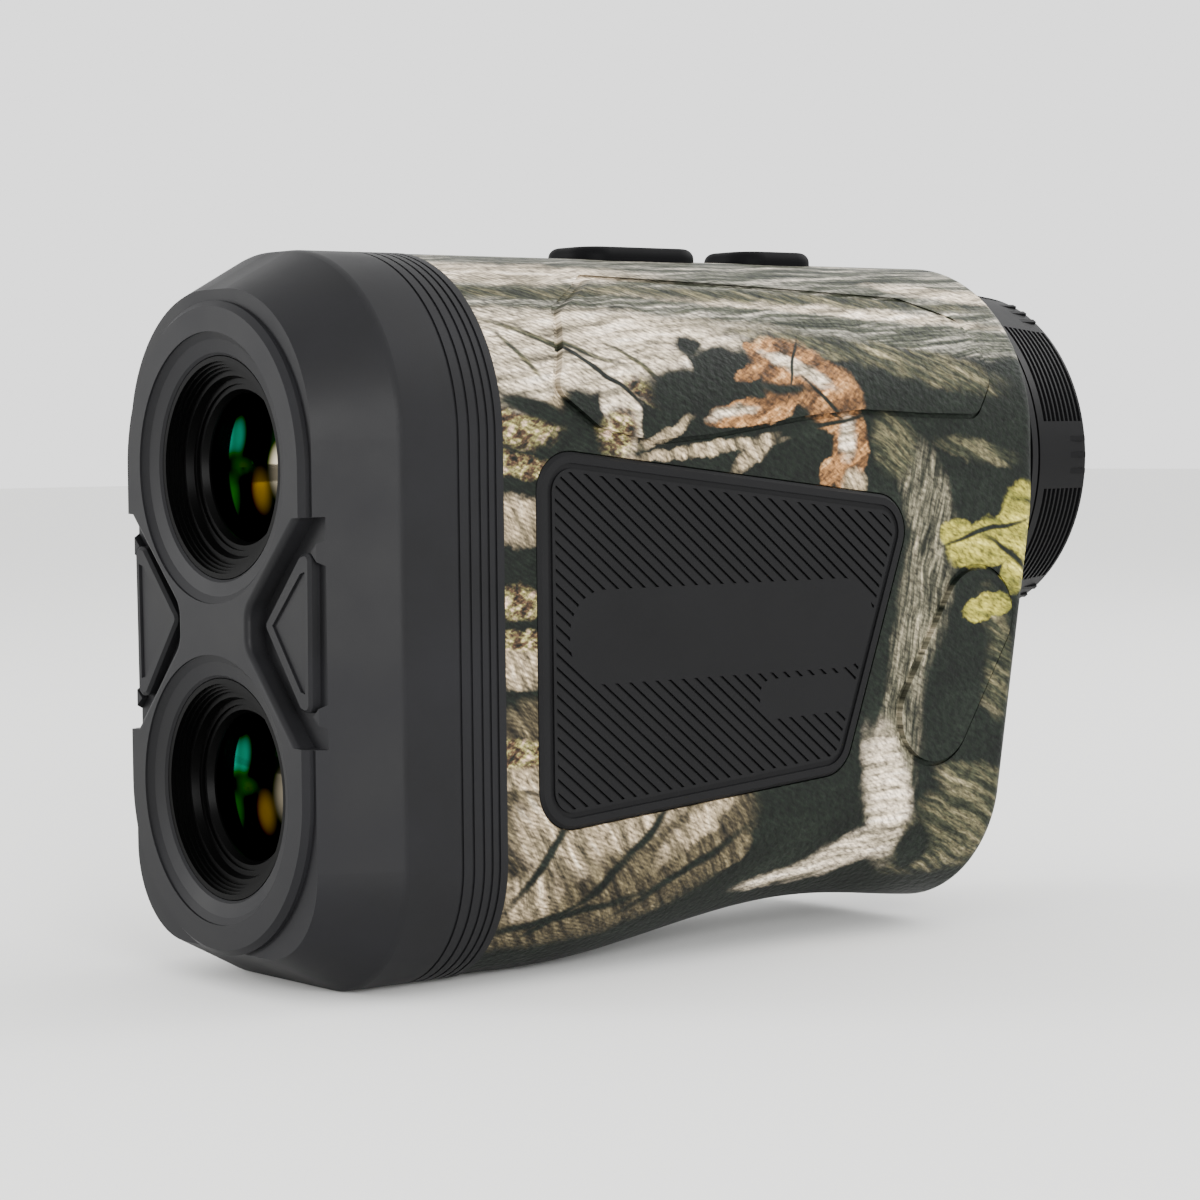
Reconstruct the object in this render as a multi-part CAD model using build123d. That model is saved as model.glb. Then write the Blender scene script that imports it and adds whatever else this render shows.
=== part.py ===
from build123d import *
import os
from math import atan2, ceil, cos, pi, radians, sin, sqrt

# A hand-held laser rangefinder, 6x22 monocular type.  Millimetres.
# The lenses look towards -Y, the eyepiece is at +Y, +Z is up and X = 0 is the
# parting plane of the two shells.  The origin is under the middle of the box.
# "depth" is always the distance behind the front face.

# ---- overall sizes
LENGTH = 104.0          # front face to eyecup rim
WIDTH = 41.2            # across the rubber bezel and the side panels
BODY_TOP = 72.7         # flat top of the body
TOP_RADIUS = 18.7       # long rounded top edges
BOTTOM_RADIUS = 13.0    # long rounded bottom edges
EYEPIECE_OUT = 10.2     # eyepiece rim behind the rear face of the body
REAR_LEAN = 6.5         # how far the lower rear face runs forward ...
REAR_FALL = 38.0        # ... over this drop
REAR_KNEE_Z = 46.0      # where the lower rear face starts to run forward
REAR_EDGE_ROUND = 1.6

# ---- walls and clearances
WALL = 2.0
RUBBER = 1.8            # bezel rubber over the nose of the shells
FRONT_WALL = 3.4        # bezel rubber in front of the barrels
PROUD = 0.3             # bezel and panels stand this far off the shells
PAD_PROUD = 0.5         # grip pads moulded on the shells
MOAT_DEPTH = 0.3        # channel round the grip pads
MOAT_WIDTH = 0.55
SEAM = 0.15             # visible seam between bezel and shells
FIT = 0.05              # running fit of turning and sliding pieces
SLIP = 0.25             # clearance round the buttons
GLUE = 0.02

# ---- optics
UPPER_Z = 51.4          # viewing axis
LOWER_Z = 19.8          # receiving axis
LENS_R = 8.2
LENS_EDGE = 5.0         # front edge of the first lenses
LENS_LIP = 0.85         # retaining rings and seats reach this far over the lens edge
NOSE_WALL = 2.7         # stepped nose of the barrels, round the lens
NOSE_GAP = 0.1          # nose to bezel opening
BARREL_STEP = 1.5       # barrel stands this far outside its nose
SEAL_WIDE = 1.1
SEAL_DEPTH = 8.3
DISH_WIDE = 2.3         # width of the sunken dish round each opening
PLATEAU_WIDE = 3.0      # front face plateau round each dish
UPPER_BARREL_END = 30.0
LOWER_BARREL_END = 26.0
DISH_DEPTH = 0.7

# ---- bezel
BEZEL_REAR = 20.5
CHAMFER_DEPTH = 7.5
CHAMFER_IN = 3.9
PLATEAU = 1.0           # front face plateau above the start of the chamfer
WAIST_FLOOR = 2.1       # depth of the two waist recesses
WAIST_ROUND = 0.6       # soft edge of the recesses
WAIST_PAD = 0.9         # depth of the top of the pads in them
WAIST = [(26.0, 47.2), (15.4, 46.7), (6.4, 37.6), (6.4, 34.0), (14.8, 24.9), (26.0, 24.4)]
PAD = [(16.2, 43.6), (14.4, 43.2), (8.0, 36.3), (14.2, 28.4), (16.0, 28.0)]
BEZEL_GROOVES = (15.1, 16.4, 17.6, 18.6, 19.5)
BEZEL_GROOVE_WIDTH = 0.3
BEZEL_GROOVE_DEPTH = 0.2

# ---- side panels
PANEL_THICK = 1.3
PANEL_ROUND = 4.0
PANEL_RIM = 2.0
PANEL_GROOVE_PITCH = 1.07
PANEL_GROOVE_WIDTH = 0.28
PANEL_GROOVE_DEPTH = 0.35
PANEL_SLOPE = 39.0      # degrees
PLATE_Z = 34.2
PLATE_HALF_H = 4.7
PLATE_FRONT, PLATE_REAR = 28.4, 68.9
PANEL = [(24.7, 15.0), (24.7, 53.1), (75.2, 47.0), (64.9, 18.4)]

# ---- grip pads on the shells
GRIP_PAD = [(27.6, 58.6), (32.5, 54.9), (38.9, 53.6), (47.0, 54.2), (58.9, 55.9), (67.7, 56.6), (76.0, 56.2),
            (84.4, 56.0), (86.9, 59.5), (87.0, 63.0), (85.6, 66.0), (79.5, 68.2), (59.4, 69.2), (38.1, 70.0),
            (31.0, 66.5)]
THUMB_A, THUMB_B, THUMB_R = (77.8, 23.7), (84.4, 34.2), 5.0

# ---- buttons
BUTTON_HALF_W = 4.4
POWER_FRONT, POWER_REAR = 43.6, 59.8
MODE_FRONT, MODE_REAR = 65.2, 76.4
BUTTON_PROUD = 1.3      # buttons stand this far above the body
BUTTON_TRAVEL = 0.8
FLANGE = 1.0
BOARD_DROP = 7.1        # button board below the top of the body
BOARD_THICK = 1.0
SWITCH_H = 2.0
SWITCH_HALF = 2.6
PLUNGER_R = 1.2

# ---- eyepiece
TUBE_R = 16.0
CELL_R = 13.0
BASE_R = 19.7
RING_GAP = 1.5          # turning grip starts this far behind the rear face
RING_R0, RING_R1 = 19.4, 18.3
GRIP_GROOVES = 9
GRIP_PITCH = 0.78
FOCUS_TRAVEL = 1.5

# ---- battery
BATTERY_R = 7.8
BATTERY_LEN = 27.0
CAP_PROUD = 0.9
CAP_RIM = 1.5           # cap outside its plug
CAP_BELOW_TUBE = -0.1   # cap edge to the flange of the eyepiece, seen from behind
SLEEVE_GAP = 0.2        # battery to its sleeve
SLEEVE_WALL = 1.4
SLEEVE_SPARE = 1.7      # contact space past the battery
PLUG_STEP = 0.9         # mouth of the sleeve, wider than the bore
BATTERY_SEAT = 5.6      # battery starts this far inside the rear face

# ---- screws, strap and boards
SCREW_R, SCREW_HEAD_R = 1.0, 1.9
BOSS_R = 2.5
SCREW_SPOTS = ((12.0, 35.6), (34.0, 35.6), (52.0, 36.2))
HEEL_SCREW = 82.6       # depth of the screw under the battery sleeve
SCREW_SEAT = 3.0        # screw head seats this far to the -X side of the parting plane
SCREW_LEN = 8.0
STRAP_DEPTH = 5.0       # strap recess in the side of the -X shell
STRAP_WALL = 1.2
BOARD_SCREWS = ((33.0, 48.0), (60.0, 50.0), (58.0, 17.0))
PRISM_LOW = 38.8
MAIN_X = 15.0

# ---- derived values
FRONT = -LENGTH / 2
HALF = WIDTH / 2
SHELL_HALF = HALF - PROUD
SHELL_TOP = BODY_TOP - 0.05
REAR_DEPTH = LENGTH - EYEPIECE_OUT      # rear face of the body round the eyepiece
NOSE_R = LENS_R + NOSE_WALL
OPENING_R = NOSE_R + NOSE_GAP
BARREL_R = NOSE_R + BARREL_STEP
DISH_R = OPENING_R + DISH_WIDE
PLATEAU_R = DISH_R + PLATEAU_WIDE
BUTTON_TOP = BODY_TOP + BUTTON_PROUD
BOARD_TOP = BODY_TOP - BOARD_DROP
RING_START = REAR_DEPTH + RING_GAP
SLEEVE_BORE = BATTERY_R + SLEEVE_GAP
SLEEVE_R = SLEEVE_BORE + SLEEVE_WALL
SLEEVE_END = BATTERY_SEAT + BATTERY_LEN + SLEEVE_SPARE + 1.2
PLUG_R = SLEEVE_BORE + PLUG_STEP
CAP_R = PLUG_R + CAP_RIM
CAP_Z = UPPER_Z - BASE_R - CAP_R - CAP_BELOW_TUBE
SCREWS = SCREW_SPOTS + ((HEEL_SCREW, CAP_Z - SLEEVE_R - BOSS_R - 0.7),)
PRISM_FRONT = REAR_DEPTH - 31.8
PRISM_REAR = REAR_DEPTH - 7.8
LEAN = atan2(REAR_LEAN, REAR_FALL)
os.makedirs("parts", exist_ok=True)


def at(depth):
    return FRONT + depth


def save(shape, name):
    export_step(shape, "parts/" + name + ".step")


def block(x0, x1, d0, d1, z0, z1):
    box = Box(x1 - x0, d1 - d0, z1 - z0)
    return Pos((x0 + x1) / 2, at((d0 + d1) / 2), (z0 + z1) / 2) * box


def rod(start, direction, radius, length):
    place = Plane(origin=start, z_dir=direction)
    return Part() + Solid.make_cylinder(radius, length, place)


def axial(z, radius, d0, d1):
    return rod((0, at(d0), z), (0, 1, 0), radius, d1 - d0)


def turned(z, profile):
    """Solid of revolution about the optical axis at height z, from (radius, depth) points."""
    outline = Polyline([(r, at(d)) for r, d in profile], close=True)
    face = Pos(0, 0, z) * make_face(outline.edges())
    return Part() + revolve(face, Axis((0, 0, z), (0, 1, 0)), 360)


def side_prism(points, x0, x1, corner=0.0):
    """Prism along X of an outline given as (depth, z) points, corners rounded."""
    face = make_face(Polyline([(at(d), z) for d, z in points], close=True).edges())
    if corner:
        face = fillet(face.vertices(), corner)
    return extrude(Pos(x0, 0, 0) * (Plane.YZ * face), amount=x1 - x0)


def front_prism(points, d0, d1, corner=0.0):
    """Prism along Y of an outline given as (x, z) points, corners rounded."""
    face = make_face(Polyline(points, close=True).edges())
    if corner:
        face = fillet(face.vertices(), corner)
    plane = Plane(origin=(0, at(d0), 0), x_dir=(1, 0, 0), z_dir=(0, -1, 0))
    return extrude(plane * face, amount=d0 - d1)


def half(shape, side):
    keep = block(0, 60, -20, LENGTH + 20, -20, 110) if side > 0 else block(-60, 0, -20, LENGTH + 20, -20, 110)
    return shape & keep


def mirrored(shape):
    return Part() + mirror(shape, Plane.YZ)


# ---------------------------------------------------------------- outer shapes
def under_line(inset):
    """Bottom profile of the body: flat behind the bezel, a finger hollow, a rear heel."""
    line = [(BEZEL_REAR + SEAM, 0.15), (33.0, 0.25), (46.4, 2.0), (60.0, 3.75)]
    line += [(72.0, 3.7), (84.0, 2.4), (LENGTH - 3.0, 1.2)]
    return [(d, z + inset) for d, z in line]


def hull(inset):
    """Body of the instrument behind the bezel, shrunk by inset on every side."""
    pts = [(at(d), z) for d, z in under_line(inset)]
    pts[0] = (at(BEZEL_REAR + SEAM + max(inset, 0)), pts[0][1])
    top = SHELL_TOP - inset
    rim = Polyline([pts[-1], (pts[-1][0], top), (pts[0][0], top), pts[0]])
    belly = Spline(pts, tangents=[(1, 0), (1, -0.1)])
    body = extrude(Plane.YZ * make_face([*rim.edges(), *belly.edges()]), amount=SHELL_HALF - inset, both=True)
    top_edges = body.edges().filter_by(Axis.Y).group_by(Axis.Z)[-1]
    body = fillet(top_edges, TOP_RADIUS - inset)
    side = SHELL_HALF - inset
    low = [e for e in body.edges() if abs(abs(e.center().X) - side) < 1e-3 and e.center().Z < 12 and e.length > 40]
    body = fillet(low, BOTTOM_RADIUS - inset)
    knee = at(REAR_DEPTH)
    foot = knee - REAR_LEAN
    low_z = REAR_KNEE_Z - REAR_FALL
    slope = REAR_LEAN / REAR_FALL
    outline = [(at(0), -20), (foot - slope * (low_z + 20), -20), (knee, REAR_KNEE_Z), (knee, 110), (at(0), 110)]
    face = make_face(Polyline(outline, close=True).edges())
    corner = [v for v in face.vertices() if abs(v.Y - REAR_KNEE_Z) < 1e-3]
    face = fillet(corner, 25)
    if inset:
        face = offset(face, -inset)
    body = body & extrude(Plane.YZ * face, amount=60, both=True)
    if inset <= 0:
        rear = [e for e in body.edges() if e.center().Y > at(80) and not on_side_of_rear(e)]
        body = fillet(rear, REAR_EDGE_ROUND)
    return body


def on_side_of_rear(edge):
    """True for the edges inside the rear face, which stay sharp."""
    box = edge.bounding_box()
    return box.size.X > 2 * SHELL_HALF - 3 and box.size.Z < 0.5 and box.max.Z < BODY_TOP - 2 and box.min.Z > 20


def cap_block(inset, front):
    """Rounded, chamfered block that the bezel and the nose of the shells are made from."""
    w = HALF - inset
    face = make_face(Polyline([(-w, inset), (w, inset), (w, BODY_TOP - inset), (-w, BODY_TOP - inset)],
                              close=True).edges())
    upper = [v for v in face.vertices() if v.Y > BODY_TOP / 2]
    face = fillet(upper, TOP_RADIUS - inset)
    lower = [v for v in face.vertices() if v.Y < BOTTOM_RADIUS and abs(v.X) > w - 1e-3 and v.Y < inset + 1e-3]
    face = fillet(lower, BOTTOM_RADIUS - inset)
    plane = Plane(origin=(0, at(front), 0), x_dir=(1, 0, 0), z_dir=(0, -1, 0))
    body = extrude(plane * face, amount=front - 30.0)
    loop = body.faces().sort_by(Axis.Y)[0]
    return chamfer(loop.edges(), CHAMFER_IN, CHAMFER_DEPTH, reference=loop)


# ---------------------------------------------------------------- bezel
def plateau_outline():
    """Front face plateau: a stadium round both openings."""
    bar = front_prism([(-PLATEAU_R, LOWER_Z), (PLATEAU_R, LOWER_Z), (PLATEAU_R, UPPER_Z), (-PLATEAU_R, UPPER_Z)],
                      0, PLATEAU + 0.5)
    return bar + axial(UPPER_Z, PLATEAU_R, 0, PLATEAU + 0.5) + axial(LOWER_Z, PLATEAU_R, 0, PLATEAU + 0.5)


def waist_recess():
    """Cut for one waist recess with its raised pad left standing."""
    cut = front_prism(WAIST, -1, WAIST_FLOOR)
    inner = [e for e in cut.edges().filter_by(Axis.Y) if e.center().X < 8]
    cut = fillet(inner, 2.4)
    pad = front_prism(PAD, WAIST_PAD, WAIST_FLOOR + 1)
    pad = fillet(pad.edges().filter_by(Axis.Y), 0.85)
    rim = pad.faces().sort_by(Axis.Y)[0]
    pad = chamfer(rim.edges(), 0.3)
    inner_pad = front_prism([(15.4, 41.6), (14.6, 41.4), (9.6, 36.3), (14.4, 30.2), (15.2, 30.0)],
                            WAIST_PAD - 1, WAIST_PAD + 0.25)
    for z0, z1 in ((41.6, 45.2), (29.6, 26.2)):
        ramp = front_prism([(17.9, z0), (17.9, z1), (15.9, (z0 + z1) / 2)], WAIST_FLOOR - 0.8, WAIST_FLOOR + 1)
        cut = cut - ramp
    return (cut - pad) + inner_pad


def front_bezel():
    body = cap_block(0, PLATEAU)
    sharp = [e for e in body.edges() if abs(e.center().Y - at(PLATEAU + CHAMFER_DEPTH)) < 0.01]
    body = fillet(sharp, 1.6)
    stage = plateau_outline()
    stage = chamfer(stage.faces().sort_by(Axis.Y)[0].edges(), 0.55)
    body = body + stage
    body = body - nose_block() - block(-40, 40, BEZEL_REAR, 40, -20, 110)
    for z in (UPPER_Z, LOWER_Z):
        dish = turned(z, [(0, -1), (DISH_R, -1), (DISH_R, 0.25), (DISH_R - 0.7, DISH_DEPTH),
                          (OPENING_R + 0.25, DISH_DEPTH + 0.35), (OPENING_R, DISH_DEPTH + 0.6),
                          (OPENING_R, 6), (0, 6)])
        lip = turned(z, [(DISH_R - 0.15, -0.35), (DISH_R + 0.5, -0.35), (DISH_R + 0.8, 0.2), (DISH_R + 0.8, 1),
                         (DISH_R - 0.15, 1)])
        body = body + (lip & block(-40, 40, 0, 2, -20, 110))
        body = body - dish
    cut = waist_recess()
    body = body - cut - mirrored(cut)
    body = fillet([e for e in body.edges() if on_recess_rim(e)], WAIST_ROUND)
    for depth in BEZEL_GROOVES:
        body = body - bezel_groove(depth)
    return body


def on_recess_rim(edge):
    """True for the front edges of the two waist recesses."""
    box = edge.bounding_box()
    flat = abs(box.min.Y - at(0)) < 0.01 and abs(box.max.Y - at(0)) < 0.01
    inside = WAIST[4][1] < edge.center().Z < WAIST[1][1] - 0.1 and abs(edge.center().X) < PLATEAU_R
    return flat and inside and edge.length > 1.0


def bezel_groove(depth):
    slab = block(-40, 40, depth - BEZEL_GROOVE_WIDTH / 2, depth + BEZEL_GROOVE_WIDTH / 2, -20, 110)
    return (slab & cap_block(-1, PLATEAU)) - cap_block(BEZEL_GROOVE_DEPTH, PLATEAU)


def nose_block():
    """Nose of the shells, under the bezel rubber."""
    nose = cap_block(RUBBER, FRONT_WALL)
    return nose & block(-40, 40, 0, BEZEL_REAR + 3, -20, 110)


# ---------------------------------------------------------------- shells
def thumb_pad(grow):
    """Slanted stadium outline behind the side panel, as a prism on the +X side."""
    (d0, z0), (d1, z1) = THUMB_A, THUMB_B
    run = sqrt((d1 - d0) ** 2 + (z1 - z0) ** 2)
    nx, nz = -(z1 - z0) / run * (THUMB_R + grow), (d1 - d0) / run * (THUMB_R + grow)
    bar = side_prism([(d0 + nx, z0 + nz), (d0 - nx, z0 - nz), (d1 - nx, z1 - nz), (d1 + nx, z1 + nz)], 10, 30)
    ends = [rod((10, at(d), z), (1, 0, 0), THUMB_R + grow, 20) for d, z in (THUMB_A, THUMB_B)]
    return bar + ends[0] + ends[1]


def raised_pads(side):
    """Textured grip pads that stand off the shell."""
    skin = hull(-PAD_PROUD) - hull(WALL / 2)
    upper = skin & side_prism(GRIP_PAD, 8, 30, 1.5)
    lower = skin & thumb_pad(0)
    pads = upper + lower
    return pads if side > 0 else mirrored(pads)


def pad_moat(side):
    """Shallow channel that outlines the grip pads."""
    skin = hull(-1) - hull(MOAT_DEPTH)
    upper = skin & (grown_prism(GRIP_PAD, MOAT_WIDTH, 8, 30, 1.5) - side_prism(GRIP_PAD, 5, 35, 1.5))
    lower = skin & (thumb_pad(MOAT_WIDTH) - thumb_pad(0))
    moat = upper + lower
    return moat if side > 0 else mirrored(moat)


def grown_prism(points, grow, x0, x1, corner):
    """Like side_prism, with the outline moved outwards by grow."""
    face = make_face(Polyline([(at(d), z) for d, z in points], close=True).edges())
    face = offset(fillet(face.vertices(), corner), grow)
    return extrude(Pos(x0, 0, 0) * (Plane.YZ * face), amount=x1 - x0)


def panel_prism(grow, x0, x1):
    face = make_face(Polyline([(at(d), z) for d, z in PANEL], close=True).edges())
    face = fillet(face.vertices(), PANEL_ROUND)
    if grow:
        face = offset(face, grow)
    return extrude(Pos(x0, 0, 0) * (Plane.YZ * face), amount=x1 - x0)


def channels(clear):
    """Everything that passes through the shells lengthwise, grown by clear."""
    return [
        axial(UPPER_Z, BARREL_R + clear, FRONT_WALL - 1, UPPER_BARREL_END + 0.1),
        axial(UPPER_Z, 10.0, UPPER_BARREL_END, PRISM_FRONT + 2),
        axial(LOWER_Z, BARREL_R + clear, FRONT_WALL - 1, LOWER_BARREL_END + 0.1),
        axial(LOWER_Z, 9.0, LOWER_BARREL_END, 44),
        block(-13 - clear, 13 + clear, PRISM_FRONT - clear, PRISM_REAR + 0.9 + clear, PRISM_LOW - clear, 64 + clear),
        axial(UPPER_Z, CELL_R + 0.3, REAR_DEPTH - 6.8, REAR_DEPTH + 2.2),
        tilted(SLEEVE_R + clear, -0.5, SLEEVE_END + clear),
        block(MAIN_X - clear, MAIN_X + 1.2 + clear, 29, 81, 13, 53),
        block(-9.2 - clear, 9.2 + clear, 41.5, 80.5, BOARD_TOP - BOARD_THICK - clear, SHELL_TOP - WALL),
    ]


def cap_centre():
    depth = REAR_DEPTH - (REAR_KNEE_Z - CAP_Z) * REAR_LEAN / REAR_FALL
    return (0, at(depth), CAP_Z)


def tilted(radius, t0, t1):
    """Cylinder on the battery axis; t runs inwards from the rear face."""
    x, y, z = cap_centre()
    inward = (0, -cos(LEAN), sin(LEAN))
    return rod((x, y + inward[1] * t0, z + inward[2] * t0), inward, radius, t1 - t0)


def shells():
    outer = hull(0) + nose_block()
    outer = outer - panel_prism(0.12, SHELL_HALF - PANEL_THICK + PROUD, 30)
    outer = outer - mirrored(panel_prism(0.12, SHELL_HALF - PANEL_THICK + PROUD, 30))
    inner = hull(WALL) + (cap_block(RUBBER + WALL, FRONT_WALL + WALL) & block(-40, 40, 0, BEZEL_REAR + 5, -20, 110))
    skin = outer - inner
    core = hull(WALL - 0.8)
    ribs = core & block(-30, 30, 27.5, 29.3, -5, 100)
    for d0, d1 in ((MODE_FRONT - 1.7, MODE_FRONT + 0.1), (PRISM_REAR - 3.0, PRISM_REAR - 1.2)):
        ribs = ribs + (core & block(-30, 30, d0, d1, -5, 100))
    for passage in channels(GLUE):
        ribs = ribs - passage
    skin = skin + ribs
    skin = skin - axial(UPPER_Z, BARREL_R + GLUE, 0, 8) - axial(LOWER_Z, BARREL_R + GLUE, 0, 8)
    skin = skin - lens_seal(UPPER_Z, GLUE) - lens_seal(LOWER_Z, GLUE)
    skin = skin - axial(UPPER_Z, 18.0, REAR_DEPTH - 4.8, LENGTH + 6)
    skin = skin - axial(UPPER_Z, 18.7, REAR_DEPTH - 4.2, REAR_DEPTH - 2.1)
    skin = skin - tilted(CAP_R + 0.2, -6, 2.05) - tilted(SLEEVE_R + 2.05, 2.05, 3.5)
    skin = skin - tilted(SLEEVE_R + GLUE, 2, 30)
    for d0, d1 in ((POWER_FRONT, POWER_REAR), (MODE_FRONT, MODE_REAR)):
        skin = skin - button_prism(SLIP, d0, d1, BOARD_TOP, 80)
    return skin


def boss(d, z, side):
    """Screw boss: blind thread in the +X shell, counterbored sleeve in the -X shell."""
    body = hull(WALL - 0.8) + (cap_block(RUBBER + WALL - 0.8, FRONT_WALL + WALL) &
                               block(-40, 40, 0, BEZEL_REAR + 5, -20, 110))
    return rod((0, at(d), z), (side, 0, 0), BOSS_R, 30) & body


def shell(side, skin):
    body = half(skin, side)
    body = body + raised_pads(side) - pad_moat(side)
    for d, z in SCREWS:
        body = body + boss(d, z, side)
    if side < 0:
        for d, z in SCREWS:
            body = body - rod((1, at(d), z), (-1, 0, 0), SCREW_R + 0.1, 10)
            body = body - rod((-SCREW_SEAT, at(d), z), (-1, 0, 0), SCREW_HEAD_R + 0.15, 30)
        body = body + (strap_pocket(STRAP_WALL) & hull(WALL - 0.8)) - strap_pocket(0) - strap_pin()
    else:
        for d, z in SCREWS:
            body = body - rod((-1, at(d), z), (1, 0, 0), SCREW_R, SCREW_LEN)
        for d, z in BOARD_SCREWS:
            post = rod((MAIN_X + 1.2, at(d), z), (1, 0, 0), 2.0, WIDTH) & hull(WALL - 0.8)
            body = body + post - rod((MAIN_X, at(d), z), (1, 0, 0), 0.8, 3.4)
    return body


def strap_pocket(grow):
    """Recess for the strap, or with grow the moulded tray round it."""
    d0, d1, z0, z1 = 70.5 - grow, 78.5 + grow, 12.5 - grow, 20.0 + grow
    floor = SHELL_HALF - STRAP_DEPTH - grow
    return mirrored(side_prism([(d0, z0), (d0, z1), (d1, z1), (d1, z0)], floor, WIDTH, 2.0 + grow))


def strap_pin():
    return rod((-(SHELL_HALF - 1.9), at(74.5), 10.6), (0, 0, 1), 0.9, 11.2)


def shell_screws():
    group = []
    for d, z in SCREWS:
        shank = rod((SCREW_LEN - 1.5, at(d), z), (-1, 0, 0), SCREW_R, SCREW_LEN - 1.5 + SCREW_SEAT)
        head = rod((-SCREW_SEAT, at(d), z), (-1, 0, 0), SCREW_HEAD_R, 1.3)
        slot = rod((-SCREW_SEAT - 0.7, at(d), z), (-1, 0, 0), 0.6, 1)
        group.append(shank + head - slot)
    return Compound(children=[g.solids()[0] for g in group])


# ---------------------------------------------------------------- side panels
def side_panel(side):
    x1 = HALF
    x0 = HALF - PANEL_THICK
    body = panel_prism(0, x0, x1)
    body = chamfer(body.faces().sort_by(Axis.X)[-1].edges(), 0.35)
    field = panel_prism(-PANEL_RIM, x1 - PANEL_GROOVE_DEPTH, x1 + 1)
    plate = side_prism([(PLATE_FRONT, PLATE_Z - PLATE_HALF_H), (PLATE_REAR, PLATE_Z - PLATE_HALF_H),
                        (PLATE_REAR, PLATE_Z + PLATE_HALF_H), (PLATE_FRONT, PLATE_Z + PLATE_HALF_H)], 5, 40, 4.4)
    tag = side_prism([(53.0, 24.6), (66.0, 25.0), (66.0, 29.0), (53.0, 28.8)], 5, 40, 1.6)
    field = field - plate - tag
    slope = radians(PANEL_SLOPE)
    stripes = []
    count = int(ceil(52 / PANEL_GROOVE_PITCH)) + 6
    for i in range(-count // 2, count // 2 + 1):
        shift = i * PANEL_GROOVE_PITCH
        centre = (x1, at(49.0) + shift * sin(slope), 34.0 + shift * cos(slope))
        bar = Box(2, 90, PANEL_GROOVE_WIDTH)
        stripes.append(Pos(*centre) * (Rot(-PANEL_SLOPE, 0, 0) * bar))
    pieces = [p for s in stripes for p in (field & s).solids()]
    grooves = Part() + [p for p in pieces if p.volume > 3 * PANEL_GROOVE_WIDTH ** 2 * PANEL_GROOVE_DEPTH]
    ring = panel_prism(-PANEL_RIM + 0.9, x1 - 0.25, x1 + 1) - panel_prism(-PANEL_RIM + 0.35, 5, 40)
    cuts = grooves + ring
    if side < 0:
        body, cuts = mirrored(body), mirrored(cuts)
    return body - cuts


# ---------------------------------------------------------------- buttons
def button_prism(grow, d0, d1, z0, z1):
    face = RectangleRounded(2 * (BUTTON_HALF_W + grow), d1 - d0 + 2 * grow, 3.2 + grow)
    return extrude(Pos(0, at((d0 + d1) / 2), z0) * face, amount=z1 - z0)


def button(d0, d1):
    low = SHELL_TOP - WALL
    key = button_prism(0, d0, d1, low - 1.2, BUTTON_TOP)
    key = fillet(key.faces().sort_by(Axis.Z)[-1].edges(), 1.1)
    flange = button_prism(FLANGE, d0, d1, low - 1.2, low - 0.3)
    flange = flange & hull(WALL + 0.3)
    return key + flange


def plunger(d0, d1):
    top = SHELL_TOP - WALL - 1.2
    base = BOARD_TOP + 1.2
    return rod((0, at((d0 + d1) / 2), base), (0, 0, 1), PLUNGER_R, top - base)


def switch(d0, d1):
    mid = (d0 + d1) / 2
    body = block(-SWITCH_HALF, SWITCH_HALF, mid - SWITCH_HALF, mid + SWITCH_HALF, BOARD_TOP, BOARD_TOP + SWITCH_H)
    return body - rod((0, at(mid), BOARD_TOP + 0.3), (0, 0, 1), PLUNGER_R + FIT, 5)


def button_board():
    board = block(-9, 9, 41.8, 80.2, BOARD_TOP - BOARD_THICK, BOARD_TOP)
    return fillet(board.edges().filter_by(Axis.Z), 1.5)


# ---------------------------------------------------------------- optics
def barrel(z, end):
    """Anodised barrel with a stepped nose; its front lens drops in from the front."""
    r, d = NOSE_R, FRONT_WALL
    seat = LENS_R + GLUE
    inmost = seat + 1.34
    steps = [(r, 1.3)]
    for k in range(4):
        ledge = r - 0.5 + (inmost - r + 0.5) * k / 3
        steps += [(ledge, 1.3 + 0.38 * k), (ledge, 1.68 + 0.38 * k)]
    steps += [(seat + 0.78, 2.82), (seat + 0.53, 3.6), (seat, 3.6), (seat, LENS_EDGE + 5.0)]
    steps += [(seat - LENS_LIP, LENS_EDGE + 5.0), (seat - LENS_LIP, LENS_EDGE + 6.0)]
    steps += [(BARREL_R - 2.8, LENS_EDGE + 9.0), (BARREL_R - 3.2, end), (BARREL_R, end), (BARREL_R, d + 0.02)]
    steps += [(r, d + 0.02)]
    return turned(z, steps)


def retaining_ring(z):
    r, e = LENS_R, LENS_EDGE
    lip = r - LENS_LIP
    return turned(z, [(r, e - 1.15), (r, e - 0.06), (lip, e - 0.26), (lip, e - 0.5), (lip + 0.35, e - 1.15)])


def lens(z, radius, apex, edge_front, edge_rear, rear):
    """Lens turned about the axis; apex and rear are the depths of its two poles."""
    def arc(pole, edge):
        sag = edge - pole
        if abs(sag) < 1e-6:
            return [Line((0, at(pole)), (radius, at(edge)))]
        big = (radius ** 2 + sag ** 2) / (2 * abs(sag))
        mid = big - sqrt(big ** 2 - (radius / 2) ** 2)
        mid = mid if sag > 0 else -mid
        return [ThreePointArc((0, at(pole)), (radius / 2, at(pole + mid)), (radius, at(edge)))]
    edges = arc(apex, edge_front) + [Line((radius, at(edge_front)), (radius, at(edge_rear)))]
    edges += arc(rear, edge_rear) + [Line((0, at(rear)), (0, at(apex)))]
    face = Pos(0, 0, z) * make_face([e.edges()[0] for e in edges])
    return Part() + revolve(face, Axis((0, 0, z), (0, 1, 0)), 360)


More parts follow.
